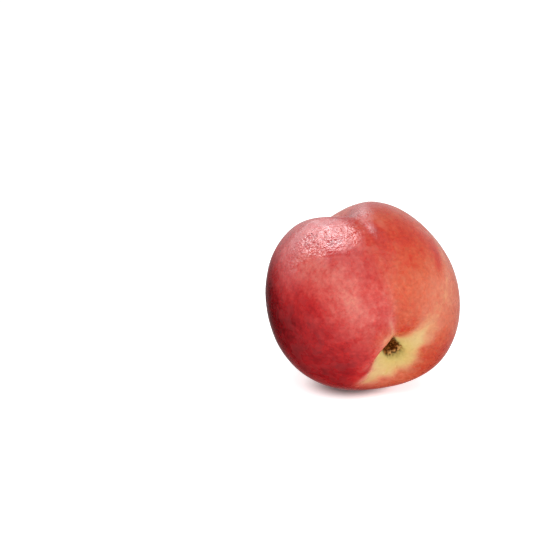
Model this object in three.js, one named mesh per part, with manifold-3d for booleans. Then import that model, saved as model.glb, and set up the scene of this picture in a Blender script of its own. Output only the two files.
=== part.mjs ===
// A ripe nectarine, one solid, lying on its side as it comes to rest on a table.
//
// The skin is one closed surface given as a distance from the fruit's centre in every direction.
// In the fruit's own frame +Z is the core axis towards the stem end and +X is the side that
// carries the suture. The distance starts as a superellipse of revolution, gets a few broad
// swellings, and then the grooves, the stem cavity with its scar and the blossom dimple are
// pressed into it. The whole surface is turned to its resting attitude, and the small flat
// it rests on is cut at z = 0. Lengths are millimetres, angles are degrees, +Z is up.

import * as THREE from 'three';
import { mergeVertices } from 'three/addons/utils/BufferGeometryUtils.js';
import Module from 'manifold-3d';

// ---- Driving dimensions ------------------------------------------------------------------

// Body: half width across the core, and the core's reach to each end before anything is pressed in.
const HALF_WIDTH = 32.1;
const STEM_REACH = 30.6;
const BLOSSOM_REACH = 39.1;
const SQUARENESS = 2.04;
const END_BLEND = 6;

// Broad swellings: longitude from the suture, latitude from the equator, spread, height.
const SWELLINGS = [
  { longitude: 90, latitude: 0, spread: 38, height: 1.7 },
  { longitude: -125, latitude: 55, spread: 26, height: 2.6 },
  { longitude: 90, latitude: -25, spread: 20, height: -0.35 },
  { longitude: 175, latitude: 55, spread: 22, height: -1.1 },
  { longitude: 30, latitude: -60, spread: 18, height: -1.1 },
];

// Suture: one shallow valley all the way, deeper near the stem and deepest above the blossom end.
const SUTURE_BOW = -3.1;
const SUTURE_LINE = { depth: 0.5, width: 1.8 };
const SUTURE_AT_STEM = { depth: 1.7, width: 3.0, at: 24, span: 20 };
const SUTURE_AT_BLOSSOM = { depth: 7.8, width: 5.1, at: 143, span: 23 };
const SIDE_BLEND = 14;

// Faint seam on the far side of the stem end.
const DORSAL_SEAM = { depth: 0.5, width: 1.3, span: 30 };

// Stem cavity: a round hollow with the torn stem scar at its foot.
const CAVITY = { depth: 4.8, radius: 8.8 };
const SCAR_PIT = { depth: 1.8, radius: 3.3, wall: 0.4 };

// Twig imprint: the stem face is pressed flat up to two walls, each a line with its azimuth and
// its distance from the core. The walls meet near the suture and bend outwards round the scar.
const TWIG = { depth: 2.7, flat: 5, fade: 9.0, reach: 19, wall: 0.7, wallGrowth: 12, corner: 1.0 };
const TWIG_WALLS = [
  { azimuth: -46, distance: 4.3 },
  { azimuth: -27, distance: 7.3 },
];
const TWIG_BITE = { depth: 10.0, radius: 8.0 };

// Blossom end: a dimple with a small dry nub in it.
const DIMPLE = { depth: 2.1, radius: 7.2 };
const NUB = { height: 0.7, radius: 1.0 };
const CAP_BLEND = 3;

// Rest: the core's heading, its tilt from upright and the fruit's spin about it, then where the
// fruit's centre stands over the middle of the flat.
const HEADING = -65.5;
const TILT = 119.4;
const SPIN = -165.5;
const CENTRE = { x: 0.7, y: -1.2, z: 31.4 };

// Mesh: rings from the stem pole to the blossom pole, closer at the stem, and points round each
// ring, closer at the suture.
const RINGS = 52;
const SIDES = 80;
const RING_POWER = 1.35;
const SUTURE_CROWDING = 0.5;

const SKIN_COLOUR = 0xb5332f;
const SKIN_ROUGHNESS = 0.4;

// ---- Formulas ----------------------------------------------------------------------------

const { degToRad, radToDeg, clamp } = THREE.MathUtils;

const bell = (x) => Math.exp(-x * x);
const ridge = (x) => 1 / Math.cosh(x);
const step = (x) => 1 / (1 + Math.exp(-x));

/** Unit vector at a polar angle from the stem and an azimuth from the suture, in radians. */
function unitDirection(polar, azimuth) {
  const across = Math.sin(polar);
  return new THREE.Vector3(
    across * Math.cos(azimuth),
    across * Math.sin(azimuth),
    Math.cos(polar),
  );
}

/** Distance of the plain body's surface along a unit direction: a superellipse of revolution. */
function bodyRadius(direction, sine) {
  const towardsStem = step(END_BLEND * direction.z);
  const reach = THREE.MathUtils.lerp(BLOSSOM_REACH, STEM_REACH, towardsStem);
  const across = Math.pow(sine / HALF_WIDTH, SQUARENESS);
  const along = Math.pow(Math.abs(direction.z) / reach, SQUARENESS);
  return Math.pow(across + along, -1 / SQUARENESS);
}

/** Height added by the broad swellings along a unit direction. */
function swelling(direction) {
  let height = 0;
  for (const spot of SWELLINGS) {
    const polar = degToRad(90 - spot.latitude);
    const middle = unitDirection(polar, degToRad(spot.longitude));
    height += spot.height * Math.exp((direction.dot(middle) - 1) / degToRad(spot.spread) ** 2);
  }
  return height;
}

/** Depth of the suture: a line valley and two deeper stretches, on the +X side only. */
function sutureDepth(direction, sideways, polarDegrees) {
  let depth = SUTURE_LINE.depth * ridge(sideways / SUTURE_LINE.width);
  for (const stretch of [SUTURE_AT_STEM, SUTURE_AT_BLOSSOM]) {
    const near = bell((polarDegrees - stretch.at) / stretch.span);
    depth += stretch.depth * near * ridge(sideways / stretch.width);
  }
  return depth * step(SIDE_BLEND * direction.x);
}

/** Depth of the faint seam opposite the suture, which fades out away from the stem. */
function seamDepth(direction, sideways, polarDegrees) {
  const fade = bell(polarDegrees / DORSAL_SEAM.span) * step(-SIDE_BLEND * direction.x);
  return DORSAL_SEAM.depth * ridge(sideways / DORSAL_SEAM.width) * fade;
}

/** Depth of the twig imprint at a point of the stem face, given by its place round the core. */
function twigDepth(x, y, fromCore) {
  const [first, second] = TWIG_WALLS.map(({ azimuth, distance }) => {
    const angle = degToRad(azimuth);
    return y * Math.cos(angle) - x * Math.sin(angle) - distance;
  });
  const wedge = (first + second + Math.hypot(first - second, TWIG.corner)) / 2;
  const past = wedge - TWIG_BITE.depth * bell(fromCore / TWIG_BITE.radius);
  const wall = TWIG.wall * (1 + (fromCore / TWIG.wallGrowth) ** 2);
  const fade = bell(Math.min(past + TWIG.flat, 0) / TWIG.fade);
  return TWIG.depth * step(-past / wall) * fade * Math.exp(-((fromCore / TWIG.reach) ** 4));
}

/** Depth pressed in round the stem: the cavity, the twig imprint and the scar. */
function stemDepth(direction, azimuth, fromCore) {
  const cap = clamp(direction.z * CAP_BLEND, 0, 1);
  const cavity = CAVITY.depth * bell(fromCore / CAVITY.radius);
  const twig = twigDepth(fromCore * Math.cos(azimuth), fromCore * Math.sin(azimuth), fromCore);
  const pit = SCAR_PIT.depth * step((SCAR_PIT.radius - fromCore) / SCAR_PIT.wall);
  return (cavity + twig + pit) * cap;
}

/** Depth pressed in round the blossom end, less the nub that stands in it. */
function blossomDepth(direction, fromCore) {
  const cap = clamp(-direction.z * CAP_BLEND, 0, 1);
  const dimple = DIMPLE.depth * bell(fromCore / DIMPLE.radius);
  const nub = NUB.height * bell(fromCore / NUB.radius);
  return (dimple - nub) * cap;
}

/** The skin's point at a polar angle from the stem and an azimuth from the suture. */
function skinPoint(polar, azimuth) {
  const direction = unitDirection(polar, azimuth);
  const sine = Math.sin(polar);
  const polarDegrees = radToDeg(polar);
  const body = bodyRadius(direction, sine) + swelling(direction);
  const bow = Math.tan(degToRad(SUTURE_BOW)) * sine ** 2;
  const sideways = body * (direction.y - direction.x * bow);
  const grooved = body - sutureDepth(direction, sideways, polarDegrees);
  const fromCore = grooved * sine;
  const pressed = seamDepth(direction, sideways, polarDegrees)
    + stemDepth(direction, azimuth, fromCore)
    + blossomDepth(direction, fromCore);
  return direction.multiplyScalar(grooved - pressed);
}

// ---- Solids ------------------------------------------------------------------------------

/** The whole skin as an indexed geometry: a point at each pole and RINGS - 1 rings between. */
function skinGeometry() {
  const points = [skinPoint(0, 0)];
  for (let ring = 1; ring < RINGS; ring += 1) {
    const polar = Math.PI * (ring / RINGS) ** RING_POWER;
    for (let side = 0; side < SIDES; side += 1) {
      const turn = (2 * Math.PI * side) / SIDES;
      points.push(skinPoint(polar, turn - SUTURE_CROWDING * Math.sin(turn)));
    }
  }
  points.push(skinPoint(Math.PI, 0));

  const blossomPole = points.length - 1;
  const at = (ring, side) => 1 + (ring - 1) * SIDES + (side % SIDES);
  const triangles = [];
  for (let side = 0; side < SIDES; side += 1) {
    triangles.push(0, at(1, side), at(1, side + 1));
    for (let ring = 1; ring < RINGS - 1; ring += 1) {
      triangles.push(at(ring, side), at(ring + 1, side), at(ring + 1, side + 1));
      triangles.push(at(ring, side), at(ring + 1, side + 1), at(ring, side + 1));
    }
    triangles.push(at(RINGS - 1, side), blossomPole, at(RINGS - 1, side + 1));
  }

  const geometry = new THREE.BufferGeometry().setFromPoints(points);
  geometry.setIndex(triangles);
  return geometry;
}

/** Turn from the fruit's own frame to its resting attitude, with its centre over the flat. */
function restingPlacement() {
  const placement = new THREE.Matrix4().makeTranslation(CENTRE.x, CENTRE.y, CENTRE.z);
  placement.multiply(new THREE.Matrix4().makeRotationZ(degToRad(HEADING)));
  placement.multiply(new THREE.Matrix4().makeRotationY(degToRad(TILT)));
  placement.multiply(new THREE.Matrix4().makeRotationZ(degToRad(SPIN)));
  return placement;
}

/** A block whose top face is z = 0, wide enough to take off all that lies below it. */
function tableBlock() {
  const side = 4 * HALF_WIDTH;
  return new THREE.BoxGeometry(side, side, HALF_WIDTH).translate(0, 0, -HALF_WIDTH / 2);
}

function toManifold(wasm, geometry) {
  const bare = geometry.clone();
  bare.deleteAttribute('normal');
  bare.deleteAttribute('uv');
  const merged = mergeVertices(bare);
  const mesh = new wasm.Mesh({
    numProp: 3,
    vertProperties: new Float32Array(merged.attributes.position.array),
    triVerts: new Uint32Array(merged.index.array),
  });
  return new wasm.Manifold(mesh);
}

function fromManifold(solid) {
  const { vertProperties, triVerts } = solid.getMesh();
  const geometry = new THREE.BufferGeometry();
  geometry.setAttribute('position', new THREE.BufferAttribute(vertProperties, 3));
  geometry.setIndex(new THREE.BufferAttribute(triVerts, 1));
  geometry.computeVertexNormals();
  return geometry;
}

const wasm = await Module();
wasm.setup();

const skin = skinGeometry().applyMatrix4(restingPlacement());
const resting = toManifold(wasm, skin).subtract(toManifold(wasm, tableBlock()));

const nectarine = new THREE.Mesh(
  fromManifold(resting),
  new THREE.MeshStandardMaterial({ color: SKIN_COLOUR, roughness: SKIN_ROUGHNESS, metalness: 0 }),
);
nectarine.name = 'nectarine';

const part = new THREE.Group();
part.add(nectarine);

export default part;
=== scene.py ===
"""The looks of a ripe nectarine lying on its side, and the pale studio that it lies in.

The skin is worked out again from the same named sizes as the solid, on a much finer grid, with
the torn stem scar's crumbs and the skin's own slight waves added. Sizes of the fruit are in
millimetres and angles in degrees, as in the solid's source; meshes, lamps and the camera are in
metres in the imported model's frame.
"""

from __future__ import annotations

import logging
import math
from dataclasses import dataclass, field
from enum import Enum
from typing import Any

import bpy
import numpy as np
from mathutils import Matrix, Vector


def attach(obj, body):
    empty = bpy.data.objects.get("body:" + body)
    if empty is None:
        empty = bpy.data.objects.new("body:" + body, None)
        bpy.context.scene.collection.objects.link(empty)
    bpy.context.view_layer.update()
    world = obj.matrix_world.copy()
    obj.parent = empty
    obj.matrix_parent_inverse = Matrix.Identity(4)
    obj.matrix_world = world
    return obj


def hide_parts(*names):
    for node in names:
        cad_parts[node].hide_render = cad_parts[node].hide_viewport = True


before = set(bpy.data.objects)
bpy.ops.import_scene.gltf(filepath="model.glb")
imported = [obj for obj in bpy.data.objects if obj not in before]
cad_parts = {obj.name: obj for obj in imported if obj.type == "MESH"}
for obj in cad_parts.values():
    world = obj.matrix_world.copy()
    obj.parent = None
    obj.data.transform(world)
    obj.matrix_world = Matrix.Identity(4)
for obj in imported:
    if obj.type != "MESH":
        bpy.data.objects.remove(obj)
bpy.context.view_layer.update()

LOG = logging.getLogger("nectarine")
MM = 0.001
WHITE = (1.0, 1.0, 1.0)
SOFT_BLUE = (0.94, 0.97, 1.0)
FAR_OUT = 40.0  # beyond this argument an exponential changes nothing that can be seen

Array = np.ndarray
Colour = tuple[float, float, float, float]
Rise = tuple[float, float]  # where a smooth step is 0, and where it is 1
Tones = tuple[tuple[float, Colour], ...]  # a row of colours, each with its place from 0 to 1


# ---- Small formulas ---------------------------------------------------------------------


def bell(x: Array) -> Array:
    """Bell curve: e to the minus x squared."""
    return np.exp(-np.square(x))


def ridge(x: Array) -> Array:
    """Pointed bell with long skirts: one over the hyperbolic cosine of x."""
    return 1.0 / np.cosh(np.clip(x, -FAR_OUT, FAR_OUT))


def step(x: Array) -> Array:
    """Soft step from 0 to 1: one over one plus e to the minus x."""
    return 1.0 / (1.0 + np.exp(-np.clip(x, -FAR_OUT, FAR_OUT)))


def unit_directions(polar: Array, azimuth: Array) -> Array:
    """Unit vectors from angles.

    Args:
        polar: Angle from the stem pole, in radians.
        azimuth: Angle round the core from the suture, in radians.

    Returns:
        Vectors (sin polar cos azimuth, sin polar sin azimuth, cos polar) on the last axis.
    """
    across = np.sin(polar)
    return np.stack([across * np.cos(azimuth), across * np.sin(azimuth), np.cos(polar)], axis=-1)


def direction_at(longitude: float, latitude: float) -> Array:
    """Unit vector at a longitude from +X and a latitude up from the equator, in degrees."""
    polar, azimuth = math.radians(90.0 - latitude), math.radians(longitude)
    return unit_directions(np.array(polar), np.array(azimuth))


def srgb(red: int, green: int, blue: int) -> Colour:
    """The linear colour, with alpha 1, of sRGB channels from 0 to 255."""
    shares = [channel / 255.0 for channel in (red, green, blue)]
    linear = [x / 12.92 if x <= 0.04045 else ((x + 0.055) / 1.055) ** 2.4 for x in shares]
    return (*linear, 1.0)


def put_in_scene(name: str, data: bpy.types.ID) -> bpy.types.Object:
    """A new object of that name in the scene, with that mesh, lamp or camera as its data."""
    made = bpy.data.objects.new(name, data)
    bpy.context.scene.collection.objects.link(made)
    return made


# ---- Shader maths -----------------------------------------------------------------------


class Blend(Enum):
    """How one colour is laid over another."""

    MIX = "MIX"
    MULTIPLY = "MULTIPLY"


class Wire:
    """One number or colour on its way through a material, written as an expression."""

    def __init__(self, bench: "NodeBench", socket: bpy.types.NodeSocket) -> None:
        """Keep the socket that the value comes out of and the bench it belongs to."""
        self.bench = bench
        self.socket = socket

    def _maths(self, operation: str, first: "Value", second: "Value") -> "Wire":
        """The wire of one Math node that works on two values or wires."""
        return self.bench.node("ShaderNodeMath", {"operation": operation}, {0: first, 1: second})

    def __add__(self, other: "Value") -> "Wire":
        """This plus other."""
        return self._maths("ADD", self, other)

    def __radd__(self, other: "Value") -> "Wire":
        """Other plus this."""
        return self._maths("ADD", other, self)

    def __sub__(self, other: "Value") -> "Wire":
        """This less other."""
        return self._maths("SUBTRACT", self, other)

    def __rsub__(self, other: "Value") -> "Wire":
        """Other less this."""
        return self._maths("SUBTRACT", other, self)

    def __mul__(self, other: "Value") -> "Wire":
        """This times other."""
        return self._maths("MULTIPLY", self, other)

    def __rmul__(self, other: "Value") -> "Wire":
        """Other times this."""
        return self._maths("MULTIPLY", other, self)


Value = Wire | float | tuple


class NodeBench:
    """The node tree of one new material or world, and the one way that nodes are put in it."""

    def __init__(self, owner: bpy.types.Material | bpy.types.World) -> None:
        """Give the material or world an empty tree."""
        owner.use_nodes = True
        self.owner = owner
        self.tree = owner.node_tree
        self.tree.nodes.clear()

    def node(
        self,
        kind: str,
        settings: dict[str, Any] | None = None,
        inputs: dict[int | str, Value] | None = None,
        output: int | str = 0,
    ) -> Wire:
        """Add a node.

        Args:
            kind: The node's type.
            settings: Its properties, set first. The key stops holds a ramp's (place, colour) pairs.
            inputs: Values or wires by socket number or name.
            output: The output socket, by number or name.

        Returns:
            The wire of that output.
        """
        made = self.tree.nodes.new(kind)
        for name, setting in (settings or {}).items():
            if name == "stops":
                self._set_stops(made, setting)
            else:
                setattr(made, name, setting)
        for socket, value in (inputs or {}).items():
            if isinstance(value, Wire):
                self.tree.links.new(value.socket, made.inputs[socket])
            else:
                made.inputs[socket].default_value = value
        return Wire(self, made.outputs[output])

    def _set_stops(self, ramp: bpy.types.Node, stops: Tones) -> None:
        """Give a ramp its (place, colour) pairs, which come from left to right."""
        elements = ramp.color_ramp.elements
        elements[0].position, elements[0].color = stops[0]
        elements[1].position, elements[1].color = stops[-1]
        for place, colour in stops[1:-1]:
            elements.new(place).color = colour

    def attribute(self, name: str, output: str = "Fac") -> Wire:
        """The value that the mesh keeps under that name."""
        return self.node("ShaderNodeAttribute", {"attribute_name": name}, output=output)

    def smooth(self, value: Wire, low: float, high: float) -> Wire:
        """Smooth step.

        Args:
            value: What is stepped.
            low: Where the result is 0.
            high: Where the result is 1; it may lie below low.

        Returns:
            A value from 0 to 1.
        """
        flip = high < low
        settings = {"interpolation_type": "SMOOTHSTEP"}
        inputs = {"Value": value, "From Min": min(low, high), "From Max": max(low, high)}
        risen = self.node("ShaderNodeMapRange", settings, inputs)
        return 1.0 - risen if flip else risen

    def ramp(self, place: Wire, stops: Tones) -> Wire:
        """The colour at a place along a row of colours."""
        return self.node("ShaderNodeValToRGB", {"stops": stops}, {0: place})

    def over(self, share: Value, under: Value, top: Value, blend: Blend = Blend.MIX) -> Wire:
        """Lay one colour over another.

        Args:
            share: How much of the top colour shows.
            under: The colour below.
            top: The colour above.
            blend: How the two are joined.

        Returns:
            The mixed colour.
        """
        settings = {"data_type": "RGBA", "blend_type": blend.value, "clamp_factor": True}
        # The node's inputs 6 and 7 and its output 2 are the ones for colours.
        return self.node("ShaderNodeMix", settings, {0: share, 6: under, 7: top}, 2)

    def bump(self, height: Wire, depth: float) -> Wire:
        """Normals bent by a height, where a height of 1 stands for the depth in metres."""
        inputs = {"Height": height, "Distance": depth, "Strength": 1.0}
        return self.node("ShaderNodeBump", {}, inputs)

    def principled(self, **sockets: Value) -> Wire:
        """A Principled shader, fed by socket name with underscores for spaces."""
        inputs = {name.replace("_", " "): value for name, value in sockets.items()}
        return self.node("ShaderNodeBsdfPrincipled", {}, inputs, "BSDF")

    def close(self, kind: str, surface: Wire) -> bpy.types.Material | bpy.types.World:
        """Lead a shader to the output node of that type, and give back the finished owner."""
        end = self.tree.nodes.new(kind)
        self.tree.links.new(surface.socket, end.inputs["Surface"])
        return self.owner


# ---- The fruit's form -------------------------------------------------------------------


@dataclass(frozen=True)
class Swelling:
    """A broad rise or hollow of the body, with its middle, spread and height."""

    longitude: float
    latitude: float
    spread: float
    height: float


@dataclass(frozen=True)
class Valley:
    """A stretch of groove: depth, half width, and the polar angle and span where it is deep."""

    depth: float
    width: float
    at: float = 0.0
    span: float = 1.0e6


@dataclass(frozen=True)
class Hollow:
    """A round hollow, or a knob where depth is negative, centred on the core."""

    depth: float
    radius: float


@dataclass(frozen=True)
class TwigWall:
    """One straight wall of the twig imprint, with its azimuth and distance from the core."""

    azimuth: float
    distance: float


@dataclass(frozen=True)
class Ripple:
    """Smooth noise: many cosine waves with seeded directions, lengths and phases, added up.

    The wavelength is in millimetres, and shortest and longest are shares of it.
    """

    seed: int
    wavelength: float
    waves: int = 28
    shortest: float = 0.7
    longest: float = 1.5

    def at(self, points: Array) -> Array:
        """Noise at points in millimetres: the cosines' sum, scaled to about 1 either way."""
        draw = np.random.default_rng(self.seed)
        heading = draw.normal(size=(self.waves, 3))
        heading /= np.linalg.norm(heading, axis=1, keepdims=True)
        length = self.wavelength * draw.uniform(self.shortest, self.longest, self.waves)
        phase = draw.uniform(0.0, 2.0 * math.pi, self.waves)
        angle = 2.0 * math.pi * points @ (heading / length[:, None]).T + phase
        return np.cos(angle).sum(axis=-1) * math.sqrt(1.0 / self.waves)


@dataclass
class SkinPlaces:
    """What is known of every point of a skin grid, in the fruit's own frame.

    Angles are in radians and lengths in millimetres. The place across the core is x towards the
    suture and y a quarter turn on, before anything is pressed in at the ends.
    """

    direction: Array
    polar: Array
    azimuth: Array
    from_core: Array
    x: Array
    y: Array
    past_wall: Array
    point: Array

    @property
    def on_stem_side(self) -> Array:
        """True on the half of the skin that has the stem."""
        return self.direction[..., 2] > 0


@dataclass
class FruitForm:
    """The fruit's surface as a distance from its centre, in millimetres and degrees.

    The fruit's own +Z is the core axis towards the stem end and +X the side with the suture.
    """

    half_width: float = 32.1
    stem_reach: float = 30.6
    blossom_reach: float = 39.1
    squareness: float = 2.04
    end_blend: float = 6.0
    side_blend: float = 14.0
    cap_blend: float = 3.0
    swellings: tuple[Swelling, ...] = (
        Swelling(90, 0, 38, 1.7),
        Swelling(-125, 55, 26, 2.6),
        Swelling(90, -25, 20, -0.35),
        Swelling(175, 55, 22, -1.1),
        Swelling(30, -60, 18, -1.1),
    )
    suture_bow: float = -3.1
    suture: tuple[Valley, ...] = (
        Valley(0.5, 1.8),
        Valley(1.7, 3.0, 24, 20),
        Valley(7.8, 5.1, 143, 23),
    )
    dorsal_seam: Valley = Valley(0.5, 1.3, 0, 30)
    cavity: Hollow = Hollow(4.8, 8.8)
    scar_pit: Hollow = Hollow(1.8, 3.3)
    scar_wall: float = 0.4
    twig_depth: float = 2.7
    twig_flat: float = 5.0
    twig_fade: float = 9.0
    twig_reach: float = 19.0
    twig_wall: float = 0.7
    twig_wall_growth: float = 12.0
    twig_corner: float = 1.0
    twig_walls: tuple[TwigWall, TwigWall] = (TwigWall(-46, 4.3), TwigWall(-27, 7.3))
    twig_bite: Hollow = Hollow(10.0, 8.0)
    dimple: Hollow = Hollow(2.1, 7.2)
    nub: Hollow = Hollow(-0.7, 1.0)
    crumb_height: float = 0.16
    crumb_margin: float = 0.5
    crumb_edge: float = 0.3
    crumbs: Ripple = Ripple(seed=5, wavelength=1.5)
    wave_height: float = 0.035
    waves: Ripple = Ripple(seed=11, wavelength=11.0)

    def body_radius(self, direction: Array) -> Array:
        """Superellipse of revolution.

        Args:
            direction: Unit vectors.

        Returns:
            The distance where (sine over half width) and (cosine over reach), each to the power
            of the squareness, add up to 1. The reach goes softly from one end's to the other's.
        """
        across = np.hypot(direction[..., 0], direction[..., 1]) / self.half_width
        to_stem = step(self.end_blend * direction[..., 2])
        reach = self.blossom_reach + (self.stem_reach - self.blossom_reach) * to_stem
        along = np.abs(direction[..., 2]) / reach
        return (across**self.squareness + along**self.squareness) ** (-1.0 / self.squareness)

    def swelling(self, direction: Array) -> Array:
        """Sum of the swellings: height times e to the (cosine from its middle - 1) / spread^2."""
        total = np.zeros(direction.shape[:-1])
        for spot in self.swellings:
            total += spot.height * spot_share(direction, spot.longitude, spot.latitude, spot.spread)
        return total

    def suture_depth(self, direction: Array, sideways: Array, polar_degrees: Array) -> Array:
        """Depth of the suture.

        Args:
            direction: Unit vectors.
            sideways: Distance from the suture's line, in millimetres.
            polar_degrees: Angle from the stem pole.

        Returns:
            The sum over its stretches of depth times a bell along it times a ridge across it.
        """
        depth = np.zeros(sideways.shape)
        for valley in self.suture:
            near = bell((polar_degrees - valley.at) / valley.span)
            depth += valley.depth * near * ridge(sideways / valley.width)
        return depth * step(self.side_blend * direction[..., 0])

    def seam_depth(self, direction: Array, sideways: Array, polar_degrees: Array) -> Array:
        """Depth of the faint seam opposite the suture: a ridge across it, fading from the stem."""
        seam = self.dorsal_seam
        fade = bell(polar_degrees / seam.span) * step(-self.side_blend * direction[..., 0])
        return seam.depth * ridge(sideways / seam.width) * fade

    def past_wall(self, x: Array, y: Array, from_core: Array) -> Array:
        """Distance beyond the twig imprint's walls.

        Args:
            x: Place across the core, towards the suture.
            y: Place across the core, a quarter turn on.
            from_core: Distance from the core.

        Returns:
            The soft maximum of the two walls' distances, less the bite round the scar. It is
            negative inside the imprint.
        """
        first, second = (
            y * math.cos(math.radians(wall.azimuth))
            - x * math.sin(math.radians(wall.azimuth))
            - wall.distance
            for wall in self.twig_walls
        )
        wedge = (first + second + np.hypot(first - second, self.twig_corner)) / 2.0
        return wedge - self.twig_bite.depth * bell(from_core / self.twig_bite.radius)

    def twig_imprint(self, past_wall: Array, from_core: Array) -> Array:
        """Depth of the imprint: a soft step down at the walls that fades away from them."""
        wall = self.twig_wall * (1.0 + (from_core / self.twig_wall_growth) ** 2)
        fade = bell(np.minimum(past_wall + self.twig_flat, 0.0) / self.twig_fade)
        reach = np.exp(-((from_core / self.twig_reach) ** 4))
        return self.twig_depth * step(-past_wall / wall) * fade * reach

    def stem_depth(self, direction: Array, past_wall: Array, from_core: Array) -> Array:
        """Depth pressed in round the stem: the cavity, the twig imprint and the scar's pit."""
        cap = np.clip(direction[..., 2] * self.cap_blend, 0.0, 1.0)
        cavity = self.cavity.depth * bell(from_core / self.cavity.radius)
        pit = self.scar_pit.depth * step((self.scar_pit.radius - from_core) / self.scar_wall)
        return (cavity + pit + self.twig_imprint(past_wall, from_core)) * cap

    def blossom_depth(self, direction: Array, from_core: Array) -> Array:
        """Depth pressed in round the blossom end, less the nub that stands in it."""
        cap = np.clip(-direction[..., 2] * self.cap_blend, 0.0, 1.0)
        hollows = (self.dimple, self.nub)
        return cap * sum(hollow.depth * bell(from_core / hollow.radius) for hollow in hollows)

    def fine_relief(self, direction: Array, radius: Array, from_core: Array) -> Array:
        """Relief finer than the solid's: the scar's crumbs and the skin's slight waves."""
        point = direction * radius[..., None]
        inside = self.scar_pit.radius + self.crumb_margin - from_core
        on_scar = step(inside / self.crumb_edge) * (direction[..., 2] > 0)
        crumbs = self.crumb_height * self.crumbs.at(point) * on_scar
        return crumbs + self.wave_height * self.waves.at(point)

    def places(self, polar: Array, azimuth: Array) -> SkinPlaces:
        """Work out the skin.

        Args:
            polar: Angles from the stem pole, in radians.
            azimuth: Angles round the core from the suture, in radians.

        Returns:
            The points, each its direction times (body + swellings - all that is pressed in +
            fine relief), with the places that the colouring is worked out from.
        """
        direction = unit_directions(polar, azimuth)
        sine = np.sin(polar)
        polar_degrees = np.degrees(polar)
        body = self.body_radius(direction) + self.swelling(direction)
        bow = math.tan(math.radians(self.suture_bow)) * sine**2
        sideways = body * (direction[..., 1] - direction[..., 0] * bow)
        grooved = body - self.suture_depth(direction, sideways, polar_degrees)
        from_core = grooved * sine
        x, y = from_core * np.cos(azimuth), from_core * np.sin(azimuth)
        past = self.past_wall(x, y, from_core)
        radius = (
            grooved
            - self.seam_depth(direction, sideways, polar_degrees)
            - self.stem_depth(direction, past, from_core)
            - self.blossom_depth(direction, from_core)
        )
        radius = radius + self.fine_relief(direction, radius, from_core)
        point = direction * radius[..., None]
        return SkinPlaces(direction, polar, azimuth, from_core, x, y, past, point)


def spot_share(direction: Array, longitude: float, latitude: float, spread: float) -> Array:
    """How much of a round soft spot lies at each direction.

    Args:
        direction: Unit vectors.
        longitude: Middle of the spot, round the core from the suture, in degrees.
        latitude: Middle of the spot, from the equator towards the stem, in degrees.
        spread: Its radius, in degrees.

    Returns:
        e to the (cosine of the angle from its middle - 1) over its spread squared.
    """
    middle = direction_at(longitude, latitude)
    return np.exp((direction @ middle - 1.0) / math.radians(spread) ** 2)


@dataclass(frozen=True)
class Lie:
    """How the fruit lies: heading, tilt and spin in degrees, and its centre in millimetres."""

    heading: float = -65.5
    tilt: float = 119.4
    spin: float = -165.5
    centre: tuple[float, float, float] = (0.7, -1.2, 31.4)

    def place(self, points: Array) -> Array:
        """Lay points of the fruit's own frame down.

        Args:
            points: Places in the fruit's own frame, in millimetres.

        Returns:
            The same in the model's frame in metres: turned by spin about Z, tilt about Y and
            heading about Z, moved to the centre, and pressed flat where they would lie under 0.
        """
        turn = (
            Matrix.Rotation(math.radians(self.heading), 3, "Z")
            @ Matrix.Rotation(math.radians(self.tilt), 3, "Y")
            @ Matrix.Rotation(math.radians(self.spin), 3, "Z")
        )
        laid = points @ np.array(turn).T + np.array(self.centre)
        laid[..., 2] = np.maximum(laid[..., 2], 0.0)
        return laid * MM


# ---- Colouring --------------------------------------------------------------------------


@dataclass(frozen=True)
class Blush:
    """A soft patch on the skin, long from end to end or round the core, and how much it adds.

    Azimuth is round the core from the suture and polar from the stem, in degrees.
    """

    azimuth: float
    polar: float
    half_width: float
    half_height: float
    amount: float

    def at(self, azimuth: Array, polar: Array) -> Array:
        """What the patch adds at places in degrees: its amount times a bell either way."""
        across = np.mod(azimuth - self.azimuth + 180.0, 360.0) - 180.0
        along = (polar - self.polar) / self.half_height
        return self.amount * bell(across / self.half_width) * bell(along)


@dataclass(frozen=True)
class Tongue:
    """A tongue of pale skin in the stem face: a line with a radius at each end, in mm.

    Its edge is crisp on the side towards the suture and soft on the other.
    """

    start: tuple[float, float]
    end: tuple[float, float]
    radius_at_start: float
    radius_at_end: float
    end_blur: float = 0.0
    crisp_edge: float = 0.45
    soft_edge: float = 1.2
    side_blur: float = 8.0
    crisp_steadiness: float = 0.6

    def share(self, x: Array, y: Array, uneven: Array) -> Array:
        """How much of the tongue lies at each place.

        Args:
            x: Place across the core, towards the suture.
            y: Place across the core, a quarter turn on.
            uneven: What is added to the distances, so that the edge wavers.

        Returns:
            A soft step of the distance from the line less the radius there.
        """
        line = np.array(self.end) - np.array(self.start)
        from_start = np.stack([x - self.start[0], y - self.start[1]], axis=-1)
        along = np.clip(from_start @ line / (line @ line), 0.0, 1.0)
        offset = from_start - along[..., None] * line
        radius = self.radius_at_start + (self.radius_at_end - self.radius_at_start) * along
        to_suture = offset[..., 0] * abs(line[1]) + offset[..., 1] * abs(line[0])
        suture_side = step(to_suture / self.side_blur)
        waver = uneven * (1.0 - self.crisp_steadiness * suture_side)
        outside = np.linalg.norm(offset, axis=-1) - radius + waver
        edge = self.soft_edge + (self.crisp_edge - self.soft_edge) * suture_side
        edge = edge + self.end_blur * along**3
        return step(-outside / edge)


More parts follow.
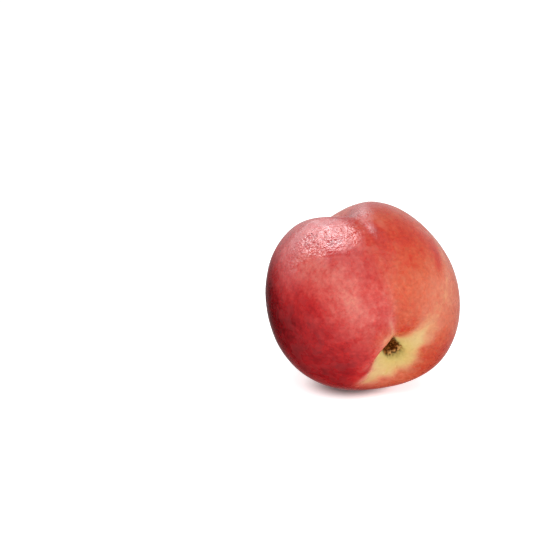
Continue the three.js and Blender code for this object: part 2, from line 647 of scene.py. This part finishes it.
@dataclass
class SkinColouring:
    """Where the skin is red, warm, pale, brown or pitted, and where shade is painted on: one number
    for each point a field.
    """

    ground: float = 0.50
    blushes: tuple[Blush, ...] = (
        # The first blush is the deep red cheek away from the suture: partly its own colour, partly
        # painted shade.
        Blush(86, 98, 40, 50, 0.48),
        Blush(102, 32, 38, 18, 0.20),
        Blush(28, 60, 12, 22, -0.21),
        Blush(4, 46, 10, 20, -0.07),
        Blush(54, 102, 16, 20, -0.17),
        Blush(6, 112, 12, 10, 0.10),
        Blush(20, 90, 12, 10, 0.06),
        Blush(5, 66, 4, 11, 0.07),
        Blush(-1, 60, 1.3, 45, -0.06),
        Blush(-6, 95, 4, 14, 0.12),
        Blush(20, 22, 18, 4, -0.20),
        Blush(-14, 25, 14, 9, 0.06),
        Blush(-45, 50, 24, 18, -0.18),
        Blush(-66, 55, 16, 30, -0.09),
        Blush(-46, 73, 4.6, 14, 0.17),
        Blush(-54, 78, 4, 18, -0.14),
        Blush(-100, 34, 40, 12, 0.09),
        Blush(7, 29, 4, 6, -0.22),
        Blush(-8, 24, 10, 5, 0.09),
        Blush(38, 88, 11, 14, -0.20),
        Blush(86, 25, 12, 6, -0.14),
        Blush(-12, 102, 7, 9, -0.09),
        Blush(33, 103, 2.4, 1.8, 0.16),
        Blush(19, 94, 4, 3.5, 0.13),
        Blush(135, 46, 18, 11, 0.14),
        Blush(108, 68, 14, 14, 0.07),
        Blush(44, 60, 10, 13, -0.07),
        Blush(40, 44, 12, 9, -0.05),
        Blush(62, 88, 10, 14, -0.07),
        Blush(75, 105, 10, 16, 0.05),
        Blush(-22, 84, 24, 18, 0.12),
        Blush(-88, 38, 14, 10, -0.08),
        Blush(-108, 20, 30, 8, 0.06),
        Blush(-170, 26, 20, 10, -0.08),
        Blush(128, 26, 14, 8, -0.30),
        # From here on: the side away from the suture, and the blossom end.
        Blush(165, 100, 36, 40, 0.26),
        Blush(-120, 95, 28, 35, -0.22),
        Blush(-158, 60, 22, 22, 0.18),
        Blush(0, 174, 180, 14, -0.06),
    )
    cool_from: float = -1.0
    cool_to: float = 150.0
    cool_blur_at_stem: float = 1.0
    cool_blur_at_waist: float = 8.0
    warm_patches: tuple[Blush, ...] = (Blush(15, 20, 26, 9, 1.0), Blush(142, 27, 16, 10, 1.0))
    cool_patch: Blush = Blush(-14, 128, 24, 18, 1.0)
    tongues: tuple[Tongue, ...] = (
        Tongue(
            (3.0, -5.6), (9.8, -12.2), 5.0, 3.4, end_blur=1.4, crisp_edge=0.6, soft_edge=1.0
        ),
        Tongue((-0.7, 0.5), (-10.4, 8.6), 8.2, 4.6, end_blur=0.8),
    )
    lip_at: float = 3.4
    lip_width: float = 2.2
    lip_reach: float = 15.0
    lip_paleness: float = 0.16
    up_wall: float = 1.3
    wall_edge: float = 0.45
    edge_noise: Ripple = Ripple(seed=3, wavelength=5.0)
    edge_waver: float = 0.7
    scar_patch: Tongue = Tongue((1.0, 0.6), (5.4, 2.8), 4.0, 3.6, crisp_edge=0.26, soft_edge=0.2)
    scar_waver: float = 0.22
    scar_wall_edge: float = 0.3
    crumb_ring: float = 3.45
    crumb_ring_width: float = 0.7
    crumb_heading: float = -145.0
    crumb_reach: float = 1.6
    crumb_fineness: float = 1.3
    crumb_level: float = 0.1
    crumb_edge: float = 0.15
    crumb_noise: Ripple = Ripple(seed=8, wavelength=1.3)
    # Painted shade: patches where the skin is made darker, low on both sides of the stem end.
    painted_shade_patches: tuple[Blush, ...] = (
        Blush(-125, 34, 42, 20, 0.9),
        Blush(150, 40, 30, 14, 0.5),
        Blush(112, 52, 26, 14, 0.5),
    )
    green_radius: float = 7.5
    green_crease: Blush = Blush(157, 15, 5, 6, 0.6)
    pitting: tuple[Blush, ...] = (
        Blush(36, 106, 20, 14, 0.6),
        Blush(16, 100, 14, 11, 0.9),
        Blush(-7, 114, 8, 8, 0.9),
        Blush(-150, 110, 40, 20, 0.35),
    )
    pitting_noise: Ripple = Ripple(seed=21, wavelength=9.0)
    pitting_waver: float = 0.4
    pitting_everywhere: float = 0.07
    grain_round: float = 16.0
    grain_along: float = 2.7

    @staticmethod
    def patches(blushes: tuple[Blush, ...], skin: SkinPlaces) -> Array:
        """Sum of some patches at every point."""
        azimuth, polar = np.degrees(skin.azimuth), np.degrees(skin.polar)
        return sum(blush.at(azimuth, polar) for blush in blushes)

    def redness(self, skin: SkinPlaces) -> Array:
        """Ground tone plus every blush, paler on the lip over the twig imprint."""
        near = np.exp(-((skin.from_core / self.lip_reach) ** 4)) * skin.on_stem_side
        lip = bell((skin.past_wall - self.lip_at) / self.lip_width) * near
        return self.ground + self.patches(self.blushes, skin) - self.lip_paleness * lip

    def warmth(self, skin: SkinPlaces) -> Array:
        """One where red leans to orange, 0 on the one cheek where it leans to pink.

        The border by the suture gets softer from the stem to the waist.
        """
        azimuth = np.mod(np.degrees(skin.azimuth) + 180.0, 360.0) - 180.0
        to_waist = np.clip(skin.polar / (math.pi / 2.0), 0.0, 1.0) ** 2
        growth = self.cool_blur_at_waist - self.cool_blur_at_stem
        begun = step((azimuth - self.cool_from) / (self.cool_blur_at_stem + growth * to_waist))
        cool = begun * step((self.cool_to - azimuth) / self.cool_blur_at_waist)
        warm = 1.0 - cool * (1.0 - self.patches(self.warm_patches, skin))
        return np.clip(warm - self.patches((self.cool_patch,), skin), 0.0, 1.0)

    def band(self, skin: SkinPlaces) -> Array:
        """Share of pale band: the greatest of the tongues', to a little way up the twig's wall."""
        uneven = self.edge_waver * self.edge_noise.at(skin.point)
        shares = [tongue.share(skin.x, skin.y, uneven) for tongue in self.tongues]
        in_wall = step((self.up_wall - skin.past_wall) / self.wall_edge)
        return np.maximum.reduce(shares) * in_wall * skin.on_stem_side

    def scar(self, skin: SkinPlaces) -> Array:
        """Share of brown stem scar: its patch with an edge made ragged by noise, below the wall."""
        ragged = self.scar_waver * self.crumb_noise.at(skin.point)
        before_wall = step(-skin.past_wall / self.scar_wall_edge)
        return self.scar_patch.share(skin.x, skin.y, ragged) * before_wall * skin.on_stem_side

    def crumb(self, skin: SkinPlaces) -> Array:
        """Share of tan corky crumbs: lumps of noise on a ring in the scar, away from the wall."""
        x, y = skin.x - self.scar_patch.start[0], skin.y - self.scar_patch.start[1]
        ring = bell((np.hypot(x, y) - self.crumb_ring) / self.crumb_ring_width)
        facing = np.cos(np.arctan2(y, x) - math.radians(self.crumb_heading))
        away = np.clip(facing * self.crumb_reach, 0.0, 1.0)
        noise = self.crumb_noise.at(skin.point * self.crumb_fineness)
        lumps = step((noise - self.crumb_level) / self.crumb_edge)
        return ring * away * lumps * skin.on_stem_side

    def dull(self, skin: SkinPlaces) -> Array:
        """Painted shade low on both sides of the stem end: the sum of its patches, up to 1."""
        return np.clip(self.patches(self.painted_shade_patches, skin), 0.0, 1.0)

    def green(self, skin: SkinPlaces) -> Array:
        """Share of green tint: a bell about the core on the stem side, and a thin crease."""
        about_core = bell(skin.from_core / self.green_radius) * skin.on_stem_side
        return np.maximum(about_core, self.patches((self.green_crease,), skin))

    def pits(self, skin: SkinPlaces) -> Array:
        """How strongly the skin is pitted: patches made uneven by noise, and a little all over."""
        uneven = 1.0 + self.pitting_waver * self.pitting_noise.at(skin.point)
        pitted = np.clip(self.patches(self.pitting, skin) * uneven, 0.0, 1.0)
        return self.pitting_everywhere + pitted

    def grain(self, skin: SkinPlaces) -> Array:
        """Coordinates for streaks from end to end, which turn into spots near the ends.

        They are the direction across the core, which changes fast, and the polar angle.
        """
        across = self.grain_round * skin.direction[..., :2]
        along = self.grain_along * skin.polar[..., None]
        return np.concatenate([across, along], axis=-1)

    def fields(self, skin: SkinPlaces) -> dict[str, Array]:
        """Every field of one number for each point, under the name that the material reads."""
        names = ("redness", "warmth", "band", "scar", "crumb", "dull", "green", "pits")
        return {name: getattr(self, name)(skin) for name in names}


@dataclass(frozen=True)
class Pattern:
    """A layer of noise: lumps in one unit, octaves, how strong each finer one is, and strength."""

    scale: float
    octaves: float = 2.0
    rough: float = 0.5
    strength: float = 1.0

    def on(self, bench: NodeBench, place: Wire) -> Wire:
        """The noise at a place, from about -0.5 to 0.5, times the strength."""
        inputs = {"Vector": place, "Scale": self.scale, "Detail": self.octaves}
        noise = bench.node("ShaderNodeTexNoise", {}, inputs | {"Roughness": self.rough})
        return (noise - 0.5) * self.strength


@dataclass(frozen=True)
class Specks:
    """Round specks: cells in one metre, a speck's radius and its full core in cells, strength."""

    scale: float
    radius: float
    core: float
    strength: float

    def on(self, bench: NodeBench, place: Wire) -> Wire:
        """The strength in the core of every speck, falling to 0 at its radius."""
        inputs = {"Vector": place, "Scale": self.scale}
        away = bench.node("ShaderNodeTexVoronoi", {}, inputs, "Distance")
        return bench.smooth(away, self.radius, self.core) * self.strength


@dataclass(frozen=True)
class SkinFinish:
    """Colours, patterns, relief and gloss of the skin and of the scar's crust.

    Patterns have their lumps in one metre, but the streaks in one unit of the mesh's grain. The
    pit depth is in metres.
    """

    cool_tones: Tones = (
        (0.00, srgb(203, 178, 125)),
        (0.15, srgb(204, 132, 108)),
        (0.30, srgb(197, 100, 90)),
        (0.45, srgb(185, 66, 60)),
        (0.60, srgb(172, 33, 33)),
        (0.75, srgb(147, 19, 24)),
        (0.90, srgb(116, 6, 13)),
        (1.00, srgb(94, 2, 7)),
    )
    warm_tones: Tones = (
        (0.00, srgb(202, 176, 122)),
        (0.15, srgb(201, 136, 96)),
        (0.30, srgb(194, 103, 76)),
        (0.45, srgb(188, 84, 55)),
        (0.60, srgb(184, 57, 36)),
        (0.75, srgb(166, 38, 28)),
        (0.90, srgb(122, 16, 14)),
        (1.00, srgb(96, 7, 9)),
    )
    green: Colour = srgb(193, 176, 86)
    # Dark brown of the scar, made darker still to paint the shade in its pit.
    scar: Colour = srgb(60, 26, 4)
    scar_light: Colour = srgb(132, 76, 31)
    crumb: Colour = srgb(206, 150, 88)
    # Pale pink of wax bloom, whose specks in the pitted patches also paint glints of the sheen.
    bloom_and_glint: Colour = srgb(240, 206, 206)
    # The colour that the painted shade multiplies the skin by.
    shade: Colour = (0.82, 0.78, 0.74, 1.0)
    mottle: Pattern = Pattern(230.0, 4.0, 0.62, 0.30)
    flecks: Pattern = Pattern(800.0, 3.0, 0.65, 0.31)
    streaks: Pattern = Pattern(1.0, 3.0, 0.55, 0.22)
    grit: Pattern = Pattern(900.0, strength=0.5)
    dark_specks: Specks = Specks(800.0, 0.34, 0.14, 0.24)
    # Specks of bloom that also paint glints where the sheen falls on the pitted skin.
    bloom_and_glint_specks: Specks = Specks(1100.0, 0.34, 0.16, 0.40)
    specks_rise: Rise = (0.2, 0.9)
    band_tone: float = 0.04
    band_mottle: float = 0.3
    band_flecks: float = 0.2
    band_streaks: float = 0.35
    band_grit: float = 0.4
    green_on_band: float = 0.9
    crust_patches: Pattern = Pattern(950.0, 1.0, 0.6)
    crust_light_rise: Rise = (-0.02, 0.20)
    pores: Pattern = Pattern(1400.0, 1.0, 0.6, 0.55)
    dents: Pattern = Pattern(330.0, strength=1.6)
    dips: Pattern = Pattern(150.0, 1.0, strength=1.5)
    pit_depth: float = 0.00042
    roughness: float = 0.25
    matt_patches: Pattern = Pattern(210.0, 2.0, 0.6)
    matt_rise: Rise = (-0.06, 0.16)
    matt_roughness: float = 0.16
    refraction: float = 1.46
    shine: float = 0.42

    def skin_colour(self, bench: NodeBench, place: Wire) -> Wire:
        """Colour of the skin.

        Args:
            bench: The material's tree.
            place: Points of the skin, in metres.

        Returns:
            The tone for the redness and its noise, or for the pale band, then pale specks of bloom
            that also paint glints, green about the stem, painted shade and a fine uneven brightness
            over it.
        """
        band = bench.attribute("band")
        mottle = self.mottle.on(bench, place)
        flecks = self.flecks.on(bench, place)
        streaks = self.streaks.on(bench, bench.attribute("grain", "Vector"))
        speckled = bench.smooth(bench.attribute("pits"), *self.specks_rise)
        on_red = bench.attribute("redness") + mottle + flecks + streaks
        on_red = on_red + self.dark_specks.on(bench, place) * speckled
        on_band = flecks * self.band_flecks + streaks * self.band_streaks
        on_band = on_band + mottle * self.band_mottle + self.band_tone
        tone = on_red * (1.0 - band) + on_band * band
        cool = bench.ramp(tone, self.cool_tones)
        warm = bench.ramp(tone, self.warm_tones)
        colour = bench.over(bench.attribute("warmth"), cool, warm)
        # Pale specks where the skin is pitted: partly wax bloom, partly painted glints of the
        # sheen.
        colour = bench.over(self.bloom_and_glint_specks.on(bench, place) * speckled, colour, self.bloom_and_glint)
        green = bench.attribute("green") * band * self.green_on_band
        colour = bench.over(green, colour, self.green)
        # Painted shade: the colour is multiplied by the shade colour where the painted shade field
        # is high.
        colour = bench.over(bench.attribute("dull"), colour, self.shade, Blend.MULTIPLY)
        less_on_band = 1.0 - band * (1.0 - self.band_grit)
        brightness = self.grit.on(bench, place) * less_on_band + 1.0
        inputs = {0: colour, "Scale": brightness}
        return bench.node("ShaderNodeVectorMath", {"operation": "SCALE"}, inputs)

    def skin(self, bench: NodeBench, place: Wire) -> Wire:
        """Shader of the skin: its colour, matt patches in its gloss, and relief where pitted."""
        relief = self.pores.on(bench, place) + self.dents.on(bench, place)
        relief = (relief + self.dips.on(bench, place)) * bench.attribute("pits")
        matt = bench.smooth(self.matt_patches.on(bench, place), *self.matt_rise)
        return bench.principled(
            Base_Color=self.skin_colour(bench, place),
            Roughness=self.roughness + matt * self.matt_roughness,
            Normal=bench.bump(relief, self.pit_depth),
            IOR=self.refraction,
            Specular_IOR_Level=self.shine,
        )

    def crust(self, bench: NodeBench, place: Wire) -> Wire:
        """Shader of the stem scar: two browns, the darker one also painted shade of the pit, and
        tan crumbs, with no gloss at all.
        """
        light = bench.smooth(self.crust_patches.on(bench, place), *self.crust_light_rise)
        colour = bench.over(light, self.scar, self.scar_light)
        colour = bench.over(bench.attribute("crumb"), colour, self.crumb)
        return bench.principled(Base_Color=colour, Roughness=1.0, Specular_IOR_Level=0.0)

    def material(self) -> bpy.types.Material:
        """The whole material: the skin, and the crust where the mesh's scar field says so."""
        bench = NodeBench(bpy.data.materials.new("nectarine_skin"))
        place = bench.node("ShaderNodeTexCoord", output="Object")
        skin, crust = self.skin(bench, place), self.crust(bench, place)
        inputs = {0: bench.attribute("scar"), 1: skin, 2: crust}
        surface = bench.node("ShaderNodeMixShader", {}, inputs)
        return bench.close("ShaderNodeOutputMaterial", surface)


@dataclass
class Nectarine:
    """The whole fruit: its form on a fine grid, laid down, coloured and finished."""

    form: FruitForm = field(default_factory=FruitForm)
    lie: Lie = field(default_factory=Lie)
    colouring: SkinColouring = field(default_factory=SkinColouring)
    finish: SkinFinish = field(default_factory=SkinFinish)
    rings: int = 260
    sides: int = 360
    ring_power: float = 1.35
    suture_crowding: float = 0.5

    def angles(self) -> tuple[Array, Array]:
        """Polar angle and azimuth of every point: the poles, and rings of points between them.

        Ring i of n has the polar angle pi (i / n)^power, which crowds the rings towards the stem.
        A point's azimuth is its turn less crowding times the turn's sine, which crowds the points
        towards the suture.
        """
        ring_polar = math.pi * (np.arange(1, self.rings) / self.rings) ** self.ring_power
        turn = 2.0 * math.pi * np.arange(self.sides) / self.sides
        around = turn - self.suture_crowding * np.sin(turn)
        polar, azimuth = np.meshgrid(ring_polar, around, indexing="ij")
        polar = np.concatenate([[0.0], polar.ravel(), [math.pi]])
        azimuth = np.concatenate([[0.0], azimuth.ravel(), [0.0]])
        return polar, azimuth

    def faces(self) -> list[list[int]]:
        """Quads between neighbouring rings, and a fan of triangles at each pole."""
        side = np.arange(self.sides)
        following = (side + 1) % self.sides
        near = 1 + np.arange(self.rings - 2)[:, None] * self.sides
        far = near + self.sides
        corners = (near + side, far + side, far + following, near + following)
        quads = np.stack(corners, axis=-1).reshape(-1, 4)
        last = 1 + (self.rings - 2) * self.sides
        pole = last + self.sides
        stem_fan = np.stack([np.zeros_like(side), 1 + side, 1 + following], axis=-1)
        blossom_fan = np.stack([last + side, np.full_like(side, pole), last + following], axis=-1)
        return quads.tolist() + stem_fan.tolist() + blossom_fan.tolist()

    def build(self) -> bpy.types.Object:
        """Make the fruit, with its place in its mesh, and let it stand for the solid."""
        skin = self.form.places(*self.angles())
        mesh = bpy.data.meshes.new("nectarine_skin")
        mesh.from_pydata(self.lie.place(skin.point).tolist(), [], self.faces())
        mesh.polygons.foreach_set("use_smooth", np.ones(len(mesh.polygons), dtype=bool))
        for name, values in self.colouring.fields(skin).items():
            kept = mesh.attributes.new(name, "FLOAT", "POINT")
            kept.data.foreach_set("value", values.astype(np.float32))
        grain = mesh.attributes.new("grain", "FLOAT_VECTOR", "POINT")
        grain.data.foreach_set("vector", self.colouring.grain(skin).astype(np.float32).ravel())
        mesh.materials.append(self.finish.material())
        mesh.update()
        piece = put_in_scene("nectarine_skin", mesh)
        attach(piece, "root")
        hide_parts("nectarine")
        return piece


# ---- Studio -----------------------------------------------------------------------------


@dataclass(frozen=True)
class Softbox:
    """A rectangular lamp that aims at the fruit.

    Heading is round from +X and elevation is up from the floor, in degrees. Width, height and
    distance are in metres, and brightness is the radiance of its face. A lamp can be kept out of
    the reflections, or be there for them alone.
    """

    name: str
    heading: float
    elevation: float
    width: float
    height: float
    brightness: float
    distance: float = 0.9
    lights_up: bool = True
    reflects: bool = True
    tint: tuple[float, float, float] = WHITE

    def build(self, aim: Vector) -> bpy.types.Object:
        """Hang the lamp, turned to a point in metres. Its power is brightness x pi x area."""
        lamp = bpy.data.lights.new(self.name, "AREA")
        lamp.shape = "RECTANGLE"
        lamp.size = self.width
        lamp.size_y = self.height
        lamp.energy = self.brightness * math.pi * self.width * self.height
        lamp.color = self.tint
        hung = put_in_scene(self.name, lamp)
        towards = Vector(direction_at(self.heading, self.elevation))
        hung.location = aim + towards * self.distance
        hung.rotation_euler = (-towards).to_track_quat("-Z", "Y").to_euler()
        hung.visible_camera = False
        hung.visible_diffuse = self.lights_up
        hung.visible_glossy = self.reflects
        return hung


@dataclass
class Studio:
    """A white floor, a white surround, the lamps and the camera.

    Sizes are in metres. The surround's levels are radiances, and its rises are places on a sphere
    of radius 1. The camera's lens and sensor are in millimetres, and its picture and the fruit's
    place in it in pixels.
    """

    floor_size: float = 12.0
    floor_white: float = 0.85
    floor_roughness: float = 0.9
    floor_glow_under: float = 0.06
    floor_glow: float = 0.72
    shade_middle: tuple[float, float, float] = (-0.004, 0.0, 0.0)
    shade_core: float = 0.006
    shade_edge: float = 0.018
    surround_level: float = 0.95
    surround_above: float = 0.40
    surround_below: float = 0.66
    backdrop: float = 1.4
    flag: float = 0.75
    horizon_rise: Rise = (-0.06, 0.0)
    above_rise: Rise = (0.15, 0.60)
    below_rise: Rise = (-0.85, -0.25)
    below_rise_to_right: Rise = (-0.6, 0.0)
    flag_rise_to_left: Rise = (-0.35, -0.75)
    flag_rise_downwards: Rise = (0.45, 0.15)
    softboxes: tuple[Softbox, ...] = (
        Softbox("key_softbox", -88.0, 60.0, 1.1, 0.8, 3.1, reflects=False),
        Softbox("fill_softbox", 0.0, 32.0, 1.4, 0.9, 0.45, reflects=False),
        Softbox("sheen_softbox", 143.0, 62.0, 0.46, 0.60, 15.0, lights_up=False, tint=SOFT_BLUE),
        Softbox("haze_softbox", 126.0, 37.0, 0.92, 0.54, 3.1, lights_up=False, tint=SOFT_BLUE),
        Softbox("edge_softbox", 154.0, 16.0, 0.90, 0.26, 0.9, lights_up=False, tint=SOFT_BLUE),
    )
    lens: float = 100.0
    sensor: float = 36.0
    picture: float = 540.0
    centre_in_picture: tuple[float, float] = (363.9, 299.1)
    distance: float = 0.518
    elevation: float = 15.0

    def floor(self) -> bpy.types.Object:
        """A square white floor with its top at 0, which glows, except in a spot under the fruit
        where lower glow paints a contact shadow.
        """
        half = self.floor_size / 2.0
        corners = [(-half, -half, 0.0), (half, -half, 0.0), (half, half, 0.0), (-half, half, 0.0)]
        mesh = bpy.data.meshes.new("floor")
        mesh.from_pydata(corners, [], [(0, 1, 2, 3)])
        bench = NodeBench(bpy.data.materials.new("white_floor"))
        white = (self.floor_white, self.floor_white, self.floor_white, 1.0)
        place = bench.node("ShaderNodeTexCoord", output="Object")
        # Painted contact shadow: the glow drops near a point under the fruit and rises to full away
        # from it.
        ends = {0: place, 1: self.shade_middle}
        away = bench.node("ShaderNodeVectorMath", {"operation": "DISTANCE"}, ends, "Value")
        outside_painted_shadow = bench.smooth(away, self.shade_core, self.shade_edge)
        glow = outside_painted_shadow * (self.floor_glow - self.floor_glow_under) + self.floor_glow_under
        lit = bench.principled(
            Base_Color=white,
            Roughness=self.floor_roughness,
            Specular_IOR_Level=0.0,
            Emission_Color=glow,
            Emission_Strength=1.0,
        )
        mesh.materials.append(bench.close("ShaderNodeOutputMaterial", lit))
        piece = put_in_scene("floor", mesh)
        piece.visible_glossy = False
        return piece

    def light_surround(self) -> None:
        """Make the surround white at eye level, dimmer overhead and low to the left.

        Below the floor, where only gloss sees it, it fades to dark, which keeps the underside's
        colours deep. The camera itself sees plain white behind the floor.
        """
        world = bpy.data.worlds.new("white_surround")
        bench = NodeBench(world)
        direction = bench.node("ShaderNodeTexCoord", output="Generated")
        height = bench.node("ShaderNodeSeparateXYZ", {}, {0: direction}, "Z")
        sideways = bench.node("ShaderNodeSeparateXYZ", {}, {0: direction}, "X")
        overhead = bench.smooth(height, *self.above_rise)
        dimmed = overhead * (self.surround_above - self.surround_level)
        risen = bench.smooth(height, *self.horizon_rise)
        below = bench.smooth(height, *self.below_rise) * self.surround_below
        below = below * bench.smooth(sideways, *self.below_rise_to_right)
        flagged = bench.smooth(height, *self.flag_rise_downwards)
        flagged = flagged * bench.smooth(sideways, *self.flag_rise_to_left)
        strength = (dimmed + self.surround_level) * risen + below * (1.0 - risen)
        strength = strength * (1.0 - flagged * self.flag)
        seen = bench.node("ShaderNodeLightPath", output="Is Camera Ray")
        strength = strength * (1.0 - seen) + seen * self.backdrop
        shade = bench.node("ShaderNodeBackground", {}, {"Strength": strength})
        bench.close("ShaderNodeOutputWorld", shade)
        bpy.context.scene.world = world

    def camera(self, centre: Vector) -> bpy.types.Object:
        """Set the camera up.

        Args:
            centre: The fruit's centre, in metres.

        Returns:
            The camera, raised by the elevation and moved back along its own axis until the
            centre is at its distance, and sideways until it is at its place in the picture.
        """
        tilt = math.radians(self.elevation)
        right = Vector((1.0, 0.0, 0.0))
        up = Vector((0.0, math.sin(tilt), math.cos(tilt)))
        back = Vector((0.0, -math.cos(tilt), math.sin(tilt)))
        metres_per_pixel = self.distance * self.sensor / self.lens / self.picture
        aside = (self.centre_in_picture[0] - self.picture / 2.0) * metres_per_pixel
        below = (self.centre_in_picture[1] - self.picture / 2.0) * metres_per_pixel
        place = centre - right * aside + up * below + back * self.distance
        settings = bpy.data.cameras.new("camera")
        settings.lens = self.lens
        settings.sensor_width = self.sensor
        made = put_in_scene("camera", settings)
        turn = Matrix((right, up, back)).transposed().to_4x4()
        made.matrix_world = Matrix.Translation(place) @ turn
        bpy.context.scene.camera = made
        return made

    def build(self, centre: Vector) -> None:
        """Set up the floor, the light and the camera about the fruit's centre."""
        self.floor()
        self.light_surround()
        for softbox in self.softboxes:
            softbox.build(centre)
        self.camera(centre)
        bpy.context.scene.view_settings.view_transform = "Standard"


def main() -> None:
    """Build the fruit and the studio, and report each piece."""
    logging.basicConfig(level=logging.INFO, format="%(name)s: %(message)s")
    fruit = Nectarine()
    piece = fruit.build()
    mesh = piece.data
    LOG.info("%s: %d points, %d faces", piece.name, len(mesh.vertices), len(mesh.polygons))
    studio = Studio()
    studio.build(Vector(fruit.lie.centre) * MM)
    LOG.info("studio: %d softboxes", len(studio.softboxes))


if __name__ == "__main__":
    main()
